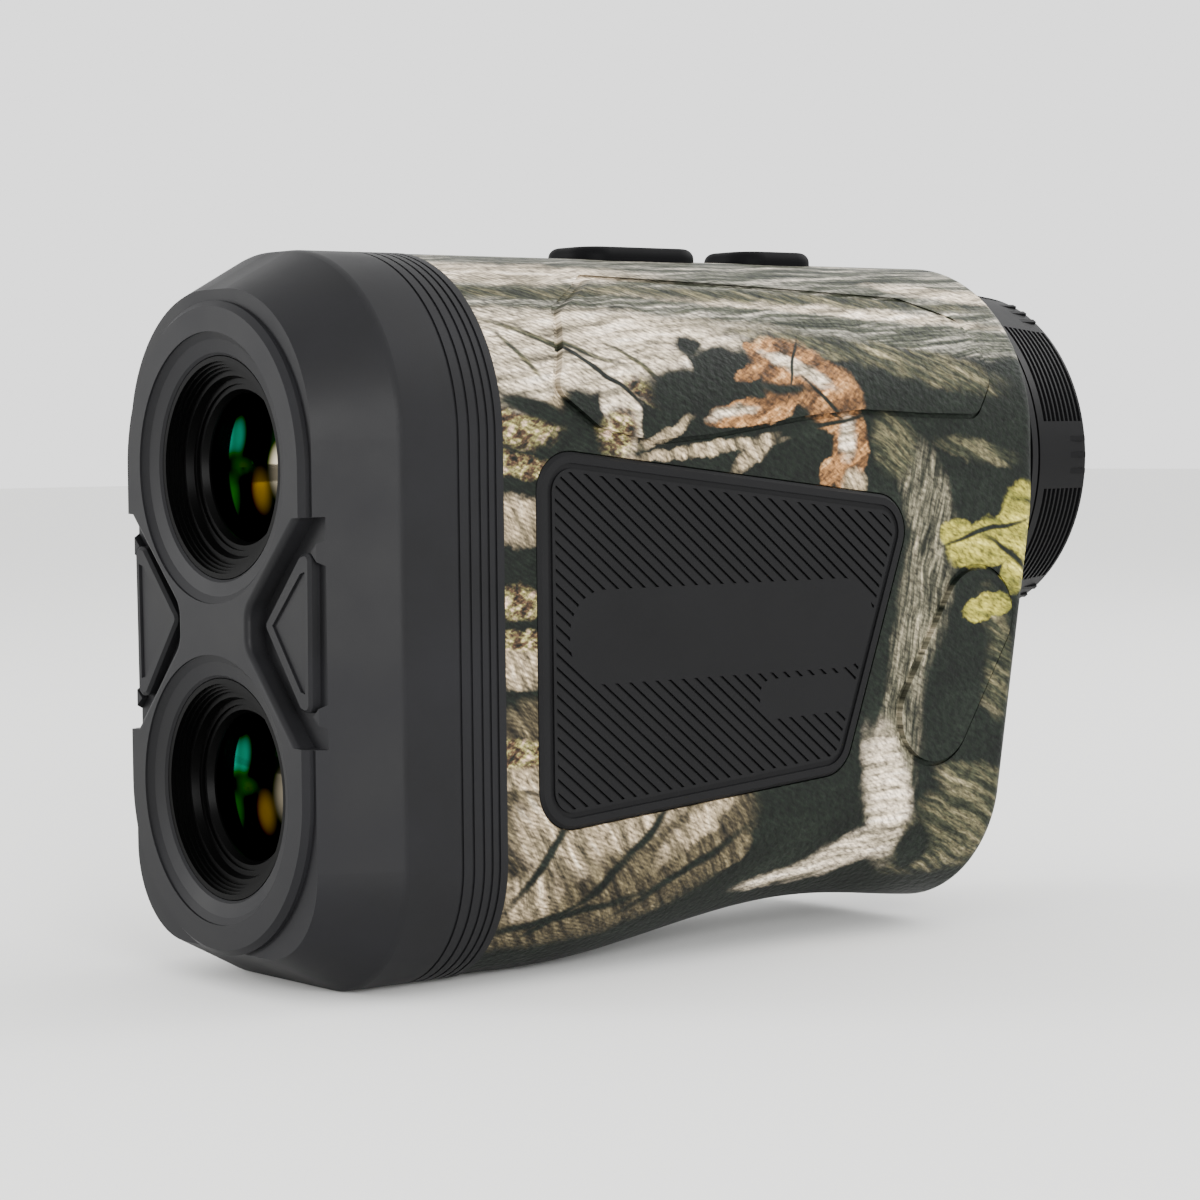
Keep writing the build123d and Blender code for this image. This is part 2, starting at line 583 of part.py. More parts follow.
def lens_seal(z, grow=0.0):
    """Sealing ring round a barrel; with grow it is the seat for it in the shells."""
    r0, r1 = BARREL_R + GLUE - grow, BARREL_R + SEAL_WIDE + grow
    d0, d1 = SEAL_DEPTH - grow, SEAL_DEPTH + 1.3 + grow
    return turned(z, [(r0, d0), (r0, d1), (r1, d1), (r1, d0)])


def prism_housing():
    outer = block(-13, 13, PRISM_FRONT, PRISM_REAR, PRISM_LOW, 64)
    outer = fillet(outer.edges().filter_by(Axis.Y), 2.0)
    inner = block(-10.5, 10.5, PRISM_FRONT + 1.5, PRISM_REAR - 1.5, PRISM_LOW + 1.5, 62.5)
    windows = axial(UPPER_Z, 9.0, PRISM_FRONT - 2, PRISM_FRONT + 3) + axial(UPPER_Z, 9.0, PRISM_REAR - 3, REAR_DEPTH)
    return outer - inner - windows


def roof_prism():
    f = PRISM_FRONT
    return front_to_side([(f + 12.6, PRISM_LOW + 1.5), (f + 22.4, PRISM_LOW + 1.5), (f + 22.4, 61.5), (f + 14.4, 61.5)])


def half_penta_prism():
    f = PRISM_FRONT
    return front_to_side([(f + 1.6, PRISM_LOW + 1.5), (f + 12.2, PRISM_LOW + 1.5), (f + 13.9, 60.0), (f + 1.6, 60.0)])


def front_to_side(points):
    return side_prism(points, -9.5, 9.5)


def reticle_display():
    plate = block(-8, 8, PRISM_REAR, PRISM_REAR + 1.2, UPPER_Z - 7, UPPER_Z + 7)
    return plate - axial(UPPER_Z, 5.0, PRISM_REAR - 0.5, PRISM_REAR + 0.4)


def laser_mount():
    d0, d1 = PRISM_FRONT - 7.0, PRISM_FRONT
    body = block(-5, 5, d0, d1, PRISM_LOW + 2.2, PRISM_LOW + 6.0) + block(-5, 5, d1 - 1.5, d1, PRISM_LOW, UPPER_Z - 10)
    body = body + block(5, 9.5, d0, d1, PRISM_LOW + 2.2, PRISM_LOW + 12.0)
    bore = rod((-1, at(d0 + 3.0), PRISM_LOW + 9.0), (1, 0, 0), 2.8, 20)
    return body - bore - axial(UPPER_Z, 8.6, d0 - 5, d1 - 0.1)


def laser_diode():
    y, z = at(PRISM_FRONT - 4.0), PRISM_LOW + 9.0
    can = rod((5.0, y, z), (1, 0, 0), 2.8, 4.5)
    return can + rod((9.5, y, z), (1, 0, 0), 0.9, 3.0)


def receiver_board():
    board = block(-13, MAIN_X, 44.0, 45.4, LOWER_Z - 9, LOWER_Z + 11)
    return fillet(board.edges().filter_by(Axis.Y), 1.0)


def apd_detector():
    can = axial(LOWER_Z, 3.9, 41.0, 44.0) + axial(LOWER_Z, 4.6, 43.4, 44.0)
    return can - axial(LOWER_Z, 2.2, 40.9, 41.3)


def main_board():
    board = block(MAIN_X, MAIN_X + 1.2, 30.0, 80.0, 14.0, 52.0)
    board = fillet(board.edges().filter_by(Axis.X), 1.5)
    for d, z in BOARD_SCREWS:
        board = board - rod((MAIN_X - 1, at(d), z), (1, 0, 0), 0.9, 4)
    for d, z in SCREWS:
        board = board - rod((MAIN_X - 1, at(d), z), (1, 0, 0), BOSS_R + 0.3, 4)
    return board


def board_screws():
    group = []
    for d, z in BOARD_SCREWS:
        head = rod((MAIN_X - 1.1, at(d), z), (1, 0, 0), 1.6, 1.1)
        shank = rod((MAIN_X - 0.1, at(d), z), (1, 0, 0), 0.8, 3.3)
        group.append(head + shank)
    return Compound(children=[g.solids()[0] for g in group])


def processor_chip():
    return block(MAIN_X - 1.4, MAIN_X, 36.0, 43.0, 40.0, 47.0)


# ---------------------------------------------------------------- eyepiece
def eyepiece_tube():
    """Fixed flanged tube, held in a groove of the two shells."""
    b, end = REAR_DEPTH, LENGTH - 3.0
    return turned(UPPER_Z, [(CELL_R + FIT, b - 5.4), (18.6, b - 3.8), (18.6, b - 2.2), (17.9, b - 2.2),
                            (17.9, b + 0.05), (BASE_R, b + 0.05), (BASE_R, b + 0.9), (BASE_R - 0.4, b + 1.3),
                            (TUBE_R, b + 1.3), (TUBE_R, end), (CELL_R + FIT, end)])


def ocular_cell():
    b = REAR_DEPTH
    return turned(UPPER_Z, [(CELL_R, b - 4.6), (CELL_R, b + 5.4), (10.05, b + 5.4), (10.05, b + 1.6),
                            (8.6, b + 1.6), (8.6, b - 0.4), (9.05, b - 0.4), (9.05, b - 3.8), (10.5, b - 4.6)])


def eye_ring():
    b = REAR_DEPTH
    return turned(UPPER_Z, [(10.04, b + 4.2), (10.04, b + 5.3), (8.6, b + 5.3), (8.2, b + 5.0), (8.2, b + 4.35)])


def diopter_ring():
    """Turning ring of the focus, with its end wall."""
    front, back, wall = RING_START + 0.2, LENGTH - 1.4, LENGTH - 2.75
    return turned(UPPER_Z, [(TUBE_R + FIT, front), (17.3, front), (17.3, back), (11.0, back), (11.6, wall),
                            (TUBE_R + FIT, wall)])


def eyecup():
    """Ribbed rubber grip and rim pressed over the turning ring."""
    r0, r1, rim = RING_R0, RING_R1, LENGTH
    body = turned(UPPER_Z, [(17.3, RING_START), (r0, RING_START), (r1 + 0.12, rim - 0.5), (r1 - 0.35, rim),
                            (16.6, rim), (15.4, rim - 0.8), (14.9, rim - 1.4), (17.3, rim - 1.4)])
    taper = (r0 - r1) / (rim - RING_START)
    ribs = None
    for i in range(GRIP_GROOVES):
        d = RING_START + 1.35 + i * GRIP_PITCH
        r = r0 - taper * (d - RING_START)
        groove = turned(UPPER_Z, [(r - 0.38, d - 0.12), (r + 0.6, d - 0.45), (r + 0.6, d + 0.45), (r - 0.38, d + 0.12)])
        ribs = groove if ribs is None else ribs + groove
    keep = None
    for k in range(6):
        wedge = eyecup_flat(k * 60.0)
        keep = wedge if keep is None else keep + wedge
    body = body - (ribs - keep)
    for k in range(6):
        for a in (-5.6, 0.0, 5.6):
            body = body + eyecup_ridge(k * 60.0 + a)
    return body


def eyecup_flat(angle):
    """Smooth land between the ribbed stretches, about 23 degrees wide."""
    wedge = block(15, 24, RING_START - 1, LENGTH + 1, -3.75, 3.75)
    return Pos(0, 0, UPPER_Z) * (Rot(0, angle, 0) * (wedge))


def eyecup_ridge(angle):
    slope = (RING_R0 - RING_R1) / (LENGTH - RING_START)
    r = RING_R0 - slope * 6.4
    bar = Pos(r - 0.35, at(LENGTH - 2.6), 0) * Box(1.0, 3.6, 0.55)
    return Pos(0, 0, UPPER_Z) * (Rot(0, angle, 0) * bar)


# ---------------------------------------------------------------- battery
def tilted_turn(profile):
    """Solid of revolution on the battery axis from (radius, t) points, t inwards."""
    x, y, z = cap_centre()
    face = make_face(Polyline([(r, t) for r, t in profile], close=True).edges())
    body = Part() + revolve(face, Axis.Y, 360)
    # the plane's own y axis points inwards
    place = Plane(origin=(x, y, z), x_dir=(-1, 0, 0), z_dir=(0, sin(LEAN), cos(LEAN)))
    return place * body


def battery_cap():
    body = tilted_turn([(0, -CAP_PROUD), (CAP_R - 0.4, -CAP_PROUD), (CAP_R, -CAP_PROUD + 0.4), (CAP_R, 1.1),
                        (PLUG_R, 1.1), (PLUG_R, 5.0), (0, 5.0)])
    x, y, z = cap_centre()
    slot = Plane(origin=(x, y, z), x_dir=(1, 0, 0), z_dir=(0, -cos(LEAN), sin(LEAN)))
    bar = extrude(slot * RectangleRounded(13.0, 1.9, 0.9), amount=2.0, both=True)
    body = body - (bar & tilted(CAP_R, -2, 0.5))
    notches = []
    for k in range(24):
        a = 2 * pi * k / 24
        notches.append(slot * (Pos(cos(a) * (CAP_R + 0.25), sin(a) * (CAP_R + 0.25), 0) * Cylinder(0.55, 4)))
    return body - (Part() + notches) if notches else body


def cap_seal():
    return tilted_turn([(PLUG_R, 1.15), (PLUG_R, 2.0), (PLUG_R + 0.75, 2.0), (PLUG_R + 0.75, 1.15)])


def cap_contact():
    return tilted_turn([(0, 5.0), (5.5, 5.0), (5.5, 5.35), (0, 5.35)])


def battery_sleeve():
    body = tilted_turn([(PLUG_R + 0.9, 1.3), (SLEEVE_R + 0.9, 1.3), (SLEEVE_R + 0.9, 2.1), (SLEEVE_R + 2.0, 2.1),
                        (SLEEVE_R + 2.0, 3.4), (SLEEVE_R, 3.4), (SLEEVE_R, SLEEVE_END), (0, SLEEVE_END),
                        (0, SLEEVE_END - 1.2), (SLEEVE_BORE, SLEEVE_END - 1.2), (SLEEVE_BORE, 5.4),
                        (PLUG_R + FIT, 5.4), (PLUG_R + FIT, 2.1), (PLUG_R + 0.9, 2.1)])
    return body


def battery():
    t0 = BATTERY_SEAT
    return tilted_turn([(0, t0), (BATTERY_R - 0.5, t0), (BATTERY_R, t0 + 0.5), (BATTERY_R, t0 + BATTERY_LEN - 1.8),
                        (BATTERY_R - 0.6, t0 + BATTERY_LEN - 1.2), (3.0, t0 + BATTERY_LEN - 1.2),
                        (3.0, t0 + BATTERY_LEN), (0, t0 + BATTERY_LEN)])


def contact_spring():
    t0 = BATTERY_SEAT + BATTERY_LEN
    t1 = SLEEVE_END - 1.2
    return tilted_turn([(2.2, t0), (3.4, t0), (5.4, t1 - 0.3), (5.4, t1), (4.2, t1), (4.2, t1 - 0.25)])


# ---------------------------------------------------------------- build
skin = shells()
save(front_bezel(), "front_bezel")
save(shell(1, skin), "left_shell")
save(shell(-1, skin), "right_shell")
save(side_panel(1), "left_side_panel")
save(side_panel(-1), "right_side_panel")
save(button(POWER_FRONT, POWER_REAR), "power_button")
save(button(MODE_FRONT, MODE_REAR), "mode_button")
save(plunger(POWER_FRONT, POWER_REAR), "power_plunger")
save(plunger(MODE_FRONT, MODE_REAR), "mode_plunger")
save(switch(POWER_FRONT, POWER_REAR), "power_switch")
save(switch(MODE_FRONT, MODE_REAR), "mode_switch")
save(button_board(), "button_board")
save(barrel(UPPER_Z, UPPER_BARREL_END), "upper_barrel")
save(barrel(LOWER_Z, LOWER_BARREL_END), "lower_barrel")
save(retaining_ring(UPPER_Z), "upper_retaining_ring")
save(retaining_ring(LOWER_Z), "lower_retaining_ring")
e = LENS_EDGE
save(lens(UPPER_Z, LENS_R, e - 1.1, e, e + 2.2, e + 1.8), "objective_lens")
save(lens(UPPER_Z, LENS_R, e + 1.85, e + 2.25, e + 4.95, e + 4.3), "field_flattener_lens")
save(lens(LOWER_Z, LENS_R, e - 1.1, e, e + 4.95, e + 4.95), "receiver_lens")
save(lens_seal(UPPER_Z), "upper_lens_seal")
save(lens_seal(LOWER_Z), "lower_lens_seal")
save(prism_housing(), "prism_housing")
save(roof_prism(), "roof_prism")
save(half_penta_prism(), "half_penta_prism")
save(reticle_display(), "reticle_display")
save(laser_mount(), "laser_mount")
save(laser_diode(), "laser_diode")
save(receiver_board(), "receiver_board")
save(apd_detector(), "apd_detector")
save(main_board(), "main_board")
save(processor_chip(), "processor_chip")
save(board_screws(), "board_screws")
save(shell_screws(), "shell_screws")
save(eyepiece_tube(), "eyepiece_tube")
save(ocular_cell(), "ocular_cell")
b = REAR_DEPTH
save(lens(UPPER_Z, 10.0, b + 4.19, b + 4.15, b + 2.1, b + 1.65), "eye_lens")
save(lens(UPPER_Z, 9.0, b - 3.4, b - 2.9, b - 0.45, b - 0.9), "field_lens")
save(eye_ring(), "eye_ring")
save(diopter_ring(), "diopter_ring")
save(eyecup(), "eyecup")
save(battery_cap(), "battery_cap")
save(cap_seal(), "cap_seal")
save(cap_contact(), "cap_contact")
save(battery_sleeve(), "battery_sleeve")
save(battery(), "battery")
save(contact_spring(), "contact_spring")
save(strap_pin(), "strap_pin")
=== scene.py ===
import math

import bmesh
import bpy
from mathutils import Matrix, Vector


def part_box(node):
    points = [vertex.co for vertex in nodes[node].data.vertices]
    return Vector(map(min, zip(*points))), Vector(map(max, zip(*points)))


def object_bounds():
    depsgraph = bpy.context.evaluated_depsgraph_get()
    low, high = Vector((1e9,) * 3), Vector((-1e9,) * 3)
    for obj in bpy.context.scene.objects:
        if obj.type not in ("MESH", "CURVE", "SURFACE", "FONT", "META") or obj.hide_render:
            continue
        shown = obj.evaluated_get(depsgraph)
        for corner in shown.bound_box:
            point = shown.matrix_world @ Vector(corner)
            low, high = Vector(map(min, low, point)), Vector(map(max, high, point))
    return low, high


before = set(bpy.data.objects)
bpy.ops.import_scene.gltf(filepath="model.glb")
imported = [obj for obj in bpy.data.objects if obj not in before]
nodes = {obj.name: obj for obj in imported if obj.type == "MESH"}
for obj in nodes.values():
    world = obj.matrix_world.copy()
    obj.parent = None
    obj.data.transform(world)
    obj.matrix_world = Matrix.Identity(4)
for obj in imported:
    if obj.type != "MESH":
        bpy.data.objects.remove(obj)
cad_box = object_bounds()

MM = 0.001

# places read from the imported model, in metres
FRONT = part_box("front_bezel")[0].y
LENS_Z = {
    "upper": (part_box("objective_lens")[0].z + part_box("objective_lens")[1].z) / 2,
    "lower": (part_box("receiver_lens")[0].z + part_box("receiver_lens")[1].z) / 2,
}
LENS_RADIUS = (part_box("objective_lens")[1].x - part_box("objective_lens")[0].x) / 2
MIDDLE = (Vector(cad_box[0]) + Vector(cad_box[1])) / 2

# a Mix node's colour sockets, which share their names with its number sockets
COLOUR_A, COLOUR_B, MIXED_COLOUR = 6, 7, 2


# ------------------------------------------------------------------ small helpers
def linear(code):
    """sRGB hex colour to linear RGBA."""
    parts = [int(code[i:i + 2], 16) / 255 for i in (1, 3, 5)]
    return tuple(c / 12.92 if c <= 0.04045 else ((c + 0.055) / 1.055) ** 2.4 for c in parts) + (1.0,)


def node(tree, kind, settings=None, stops=None, links=()):
    """Adds one node; links pairs an input's name or number with a value or another node's output."""
    made = tree.nodes.new(kind)
    for name, value in (settings or {}).items():
        setattr(made, name, value)
    if stops:
        ramp = made.color_ramp.elements
        while len(ramp) < len(stops):
            ramp.new(0.5)
        for element, (place, code) in zip(ramp, stops):
            element.position = place
            element.color = linear(code)
    for key, value in links:
        if isinstance(value, bpy.types.Node):
            value = value.outputs[0]
        if isinstance(value, bpy.types.NodeSocket):
            tree.links.new(value, made.inputs[key])
        else:
            made.inputs[key].default_value = value
    return made


def material(name):
    """A new material with one Principled shader, and the tools to build on it."""
    made = bpy.data.materials.new(name)
    made.use_nodes = True
    tree = made.node_tree
    return made, tree, tree.nodes["Principled BSDF"]


def finish_node(name, made):
    """Puts a material on every slot of a CAD node."""
    mesh = nodes[name].data
    if not mesh.materials:
        mesh.materials.append(made)
    for i in range(len(mesh.materials)):
        mesh.materials[i] = made


# ------------------------------------------------------------------ moulded rubber and plastic
CLOUD_SIZE = 9 * MM     # size of the faint mottle that handling leaves on a moulded skin


def moulded(name, colour, pale, rough, grain_mm, depth_mm, gloss=0.5):
    """Moulded skin: colour with a faint mottle, a fine spark-eroded grain and an uneven sheen.
    grain_mm is the grain's size and depth_mm its height; gloss is the strength of its highlights."""
    made, tree, shader = material(name)
    where = node(tree, "ShaderNodeTexCoord").outputs["Object"]
    grain = node(tree, "ShaderNodeTexNoise", links=[("Vector", where), ("Scale", 1 / (grain_mm * MM)),
                                                    ("Detail", 3.0), ("Roughness", 0.6)])
    cloud = node(tree, "ShaderNodeTexNoise", links=[("Vector", where), ("Scale", 1 / CLOUD_SIZE),
                                                    ("Detail", 3.0)])
    tint = node(tree, "ShaderNodeValToRGB", stops=[(0.3, colour), (0.75, pale)], links=[("Fac", cloud)])
    sheen = node(tree, "ShaderNodeMapRange",
                 links=[("Value", cloud), ("From Min", 0.3), ("From Max", 0.7),
                        ("To Min", rough - 0.05), ("To Max", rough + 0.06)])
    bump = node(tree, "ShaderNodeBump", links=[("Height", grain), ("Strength", 0.6),
                                               ("Distance", depth_mm * MM)])
    tree.links.new(tint.outputs["Color"], shader.inputs["Base Color"])
    tree.links.new(sheen.outputs["Result"], shader.inputs["Roughness"])
    tree.links.new(bump.outputs["Normal"], shader.inputs["Normal"])
    shader.inputs["IOR"].default_value = 1.5
    shader.inputs["Specular IOR Level"].default_value = gloss
    return made


# Thermoplastic rubber, moulded: charcoal and satin, with soft wide highlights
bezel_rubber = moulded("thermoplastic_rubber_bezel", "#151516", "#18181a", 0.50, 0.18, 0.010, 0.10)
# The same rubber on the side panels: a little darker and flatter, so that the grooves read as black lines
panel_rubber = moulded("thermoplastic_rubber_panel", "#0e0e0f", "#111112", 0.52, 0.20, 0.012, 0.10)
# Silicone rubber, moulded: the keys are the mattest black
key_rubber = moulded("silicone_rubber_key", "#060607", "#080809", 0.58, 0.20, 0.008, 0.04)
# Thermoplastic rubber on the eyecup: deep black, with a faint shine on the ribs that hands polish
grip_rubber = moulded("thermoplastic_rubber_grip", "#070708", "#09090a", 0.48, 0.20, 0.010, 0.08)
# ABS from a spark-eroded mould: near-black satin with tighter highlights than the rubber
tube_plastic = moulded("abs_satin_charcoal", "#0c0c0d", "#0e0e0f", 0.42, 0.16, 0.006, 0.14)
# ABS, matt moulded: housings, carriers and every inner piece without a finish of its own, dull black
inner_plastic = moulded("abs_matt_black", "#141415", "#19191a", 0.60, 0.20, 0.010)


# ------------------------------------------------------------------ metals and board
def plain(name, colour, rough, metal=0.0, gloss=0.5):
    """Even finish of one colour, for small and inner pieces."""
    made, _, shader = material(name)
    shader.inputs["Base Color"].default_value = linear(colour)
    shader.inputs["Roughness"].default_value = rough
    shader.inputs["Metallic"].default_value = metal
    shader.inputs["Specular IOR Level"].default_value = gloss
    return made


# Aluminium, turned and black anodised: deep black, with little more than an edge light on each step
black_anodised = plain("aluminium_black_anodised", "#030303", 0.34, gloss=0.04)
# Spring steel, ground and blackened: dark grey metal with a soft line of light
dark_steel = plain("steel_blackened", "#4a4a4c", 0.36, metal=1.0)
# Steel, nickel plated: warm silver contacts and cans
bright_steel = plain("steel_nickel_plated", "#b9b6ae", 0.28, metal=1.0)
# Solder mask over glass-epoxy: deep green and glossy
board_green = plain("glass_epoxy_green", "#0f4a2a", 0.35)


# ------------------------------------------------------------------ coated glass
PATCH_CORE, PATCH_EDGE = 0.20, 1.40     # where a patch begins and ends to fade, in parts of its half size
ANY_DEPTH = 1e6                         # so long that the place along the lens axis has no say


def coated_lens_with_painted_reflections(name, axis_z, body, painted_reflection_patches):
    """Crown glass, polished, with a vacuum-deposited coating: nearly black, with soft painted reflections in
    the coating's colours, each a patch fixed on the glass. The coating mirrors like a thin metal, so it has
    no pale glare.
    Each patch is (colour, x, z, half width, half height) in parts of the lens radius."""
    made, tree, shader = material(name)
    where = node(tree, "ShaderNodeTexCoord").outputs["Object"]
    shown = node(tree, "ShaderNodeRGB").outputs["Color"]
    shown.default_value = linear(body)
    # each patch is a painted reflection, fixed on the glass
    for tint, x, z, half_x, half_z in painted_reflection_patches:
        local = node(tree, "ShaderNodeMapping", {"vector_type": "TEXTURE"},
                     links=[("Vector", where),
                            ("Location", (x * LENS_RADIUS, 0, axis_z + z * LENS_RADIUS)),
                            ("Scale", (half_x * LENS_RADIUS, ANY_DEPTH, half_z * LENS_RADIUS))])
        reach = node(tree, "ShaderNodeVectorMath", {"operation": "LENGTH"}, links=[(0, local)])
        mask = node(tree, "ShaderNodeMapRange", {"interpolation_type": "SMOOTHSTEP"},
                    links=[("Value", reach.outputs["Value"]), ("From Min", PATCH_CORE),
                           ("From Max", PATCH_EDGE), ("To Min", 1.0), ("To Max", 0.0)])
        shown = node(tree, "ShaderNodeMix", {"data_type": "RGBA"},
                     links=[(0, mask), (COLOUR_A, shown), (COLOUR_B, linear(tint))]).outputs[MIXED_COLOUR]
    tree.links.new(shown, shader.inputs["Base Color"])
    shader.inputs["Metallic"].default_value = 1.0
    shader.inputs["Roughness"].default_value = 0.04
    shader.inputs["Specular Tint"].default_value = linear("#26352a")
    return made


# Broadband coating on the front lenses: painted reflections of leaf green, teal, amber and a pale rim on
# black
GREEN_COATING_PAINTED_REFLECTIONS = [("#1d5a2c", -0.42, -0.30, 0.34, 0.50), ("#2f8f7c", -0.50, 0.36, 0.36, 0.26),
                 ("#1f6a58", -0.12, 0.38, 0.16, 0.24), ("#4a3a18", 0.34, -0.28, 0.18, 0.26),
                 ("#5c564a", 0.72, -0.05, 0.18, 0.30), ("#34421a", -0.2, 0.02, 0.40, 0.16)]
# Coating on the eye lens: painted reflections of faint blue and violet on black
VIOLET_COATING_PAINTED_REFLECTIONS = [("#1c2340", -0.3, 0.25, 0.5, 0.4), ("#241d35", 0.35, -0.3, 0.4, 0.4)]
front_glass = coated_lens_with_painted_reflections("crown_glass_green_coated_painted_reflections", LENS_Z["upper"], "#0a0e07", GREEN_COATING_PAINTED_REFLECTIONS)
receiver_glass = coated_lens_with_painted_reflections("crown_glass_green_coated_receiver", LENS_Z["lower"], "#0a0e07", GREEN_COATING_PAINTED_REFLECTIONS)
# Crown glass, polished and bare: clear, for the inner lenses and prisms
clear_glass, _, shader = material("crown_glass_clear")
shader.inputs["Base Color"].default_value = linear("#dfe8e4")
shader.inputs["Transmission Weight"].default_value = 1.0
shader.inputs["Roughness"].default_value = 0.02
shader.inputs["IOR"].default_value = 1.52
eye_glass = coated_lens_with_painted_reflections("crown_glass_violet_coated_eye_painted_reflections", LENS_Z["upper"], "#08090d", VIOLET_COATING_PAINTED_REFLECTIONS)


# ------------------------------------------------------------------ camouflage film on the shells
SIDE_HALF = 19.4                        # mm; nearer the parting plane than this, the picture is unrolled
UNDER, OVER = 0.030, 0.045              # heights in m between which the unrolling changes from down to up
UNROLL = 0.55                           # share of the way inwards that is added to the height
TOP_START, TOP_FULL = 61.8, 63.6        # mm: the streaked bark of the top fades in between these heights
FRAY = (3.4, 1.3, 6.0)                  # torn leaf edges: size and reach in mm, and detail
WAVER = (9.0, 1.2, 1.5, 31.0)           # slower wander of twigs and ribs: the same, with a seed


def camouflage():
    """ABS shell wrapped in a printed woodland film with a leather-like grain: matt, warm beige, bark
    brown, oak-leaf orange, olive and green-black, with streaks that run along the top."""
    made, tree, shader = material("abs_camouflage_film")
    where = node(tree, "ShaderNodeTexCoord").outputs["Object"]
    xyz = node(tree, "ShaderNodeSeparateXYZ", links=[("Vector", where)])

    def maths(kind, a, b=0.0, c=0.0):
        return node(tree, "ShaderNodeMath", {"operation": kind}, links=[(0, a), (1, b), (2, c)])

    # depth behind the front face and height up the side, in millimetres; past the shoulder
    # the height runs on over the top, so that the pattern isn't smeared there
    depth = maths("MULTIPLY_ADD", xyz.outputs["Y"], 1 / MM, -FRONT / MM)
    outward = maths("ABSOLUTE", xyz.outputs["X"])
    inward = maths("MAXIMUM", maths("MULTIPLY_ADD", outward, -1 / MM, SIDE_HALF), 0.0)
    turn = node(tree, "ShaderNodeMapRange",
                links=[("Value", xyz.outputs["Z"]), ("From Min", UNDER), ("From Max", OVER),
                       ("To Min", -UNROLL), ("To Max", UNROLL)])
    height = maths("MULTIPLY_ADD", xyz.outputs["Z"], 1 / MM, maths("MULTIPLY", inward, turn))
    flat = node(tree, "ShaderNodeCombineXYZ", links=[("X", depth), ("Y", height), ("Z", 1.0)])

    def warped(size, reach, detail, seed=0.0):
        """flat pushed about by noise of a size and reach in millimetres."""
        shift = node(tree, "ShaderNodeVectorMath", {"operation": "ADD"},
                     links=[(0, flat), (1, (seed, seed, seed))])
        noise = node(tree, "ShaderNodeTexNoise", links=[("Vector", shift), ("Scale", 1 / size),
                                                        ("Detail", detail), ("Roughness", 0.66)])
        centred = node(tree, "ShaderNodeVectorMath", {"operation": "SUBTRACT"},
                       links=[(0, noise.outputs["Color"]), (1, (0.5, 0.5, 0.5))])
        pushed = node(tree, "ShaderNodeVectorMath", {"operation": "MULTIPLY_ADD"},
                      links=[(0, centred), (1, (2 * reach, 2 * reach, 0)), (2, flat)])
        return pushed.outputs[0]

    ragged = warped(*FRAY)
    crisp = warped(*WAVER)

    def leaf(ovals, soft, on):
        """Mask of the union of ovals, each (depth, height, half length, half width, degrees)."""
        nearest = None
        for d, z, half_d, half_z, degrees in ovals:
            c = math.cos(math.radians(degrees))
            s = math.sin(math.radians(degrees))
            along = node(tree, "ShaderNodeVectorMath", {"operation": "DOT_PRODUCT"},
                         links=[(0, on), (1, (c / half_d, s / half_d, -(d * c + z * s) / half_d))])
            across = node(tree, "ShaderNodeVectorMath", {"operation": "DOT_PRODUCT"},
                          links=[(0, on), (1, (-s / half_z, c / half_z, (d * s - z * c) / half_z))])
            along = along.outputs["Value"]
            across = across.outputs["Value"]
            reach = maths("MULTIPLY_ADD", along, along, maths("MULTIPLY", across, across))
            nearest = reach if nearest is None else maths("MINIMUM", nearest, reach)
        return node(tree, "ShaderNodeMapRange", {"interpolation_type": "SMOOTHSTEP"},
                    links=[("Value", nearest), ("From Min", (1 - soft) ** 2), ("From Max", (1 + soft) ** 2),
                           ("To Min", 1.0), ("To Max", 0.0)]).outputs["Result"]

    def lay(below, above, mask):
        """One colour printed over another where the mask is 1."""
        return node(tree, "ShaderNodeMix", {"data_type": "RGBA"},
                    links=[(0, mask), (COLOUR_A, below), (COLOUR_B, above)]).outputs[MIXED_COLOUR]

    def paint(below, above, ovals, soft=0.12, on=ragged):
        """Ovals of one ink; soft is how far the edge fades, in parts of the oval."""
        return lay(below, above, leaf(ovals, soft, on))

    def streaks(along, across, degrees, seed, stops):
        """Ink in long brush-like streaks: along and across are their size in millimetres."""
        local = node(tree, "ShaderNodeMapping", {"vector_type": "TEXTURE"},
                     links=[("Vector", crisp), ("Location", (seed, seed, 0)),
                            ("Rotation", (0, 0, math.radians(degrees))), ("Scale", (along, across, 1))])
        noise = node(tree, "ShaderNodeTexNoise", links=[("Vector", local), ("Scale", 1.0), ("Detail", 4.0),
                                                        ("Roughness", 0.65)])
        return node(tree, "ShaderNodeValToRGB", stops=stops, links=[("Fac", noise)]).outputs["Color"]

    # green-black ground with a faint lighter mottle
    ground = streaks(9, 5, 20, 0.0, [(0.3, "#070b07"), (0.55, "#0c120c"), (0.8, "#1a2019")])
    # brown weave and warm beige of the lower leaf
    weave = streaks(7, 1.1, -52, 3.0,
                    [(0.32, "#100f0b"), (0.46, "#332d20"), (0.58, "#564d38"), (0.76, "#8c7e60")])
    beige = streaks(7, 1.2, -62, 5.0,
                    [(0.30, "#2a261b"), (0.44, "#6a5f4a"), (0.58, "#a79579"), (0.74, "#e2d2b8")])
    # bleached leaf, and the bark of the top
    pale = streaks(10, 1.2, 6, 9.0,
                   [(0.30, "#4a4438"), (0.44, "#8f8470"), (0.56, "#cdbda6"), (0.70, "#f3e6d3")])
    bark = streaks(15, 0.9, 3, 15.0,
                   [(0.36, "#14180f"), (0.47, "#3b3d31"), (0.58, "#77746a"), (0.72, "#cdc2b0")])
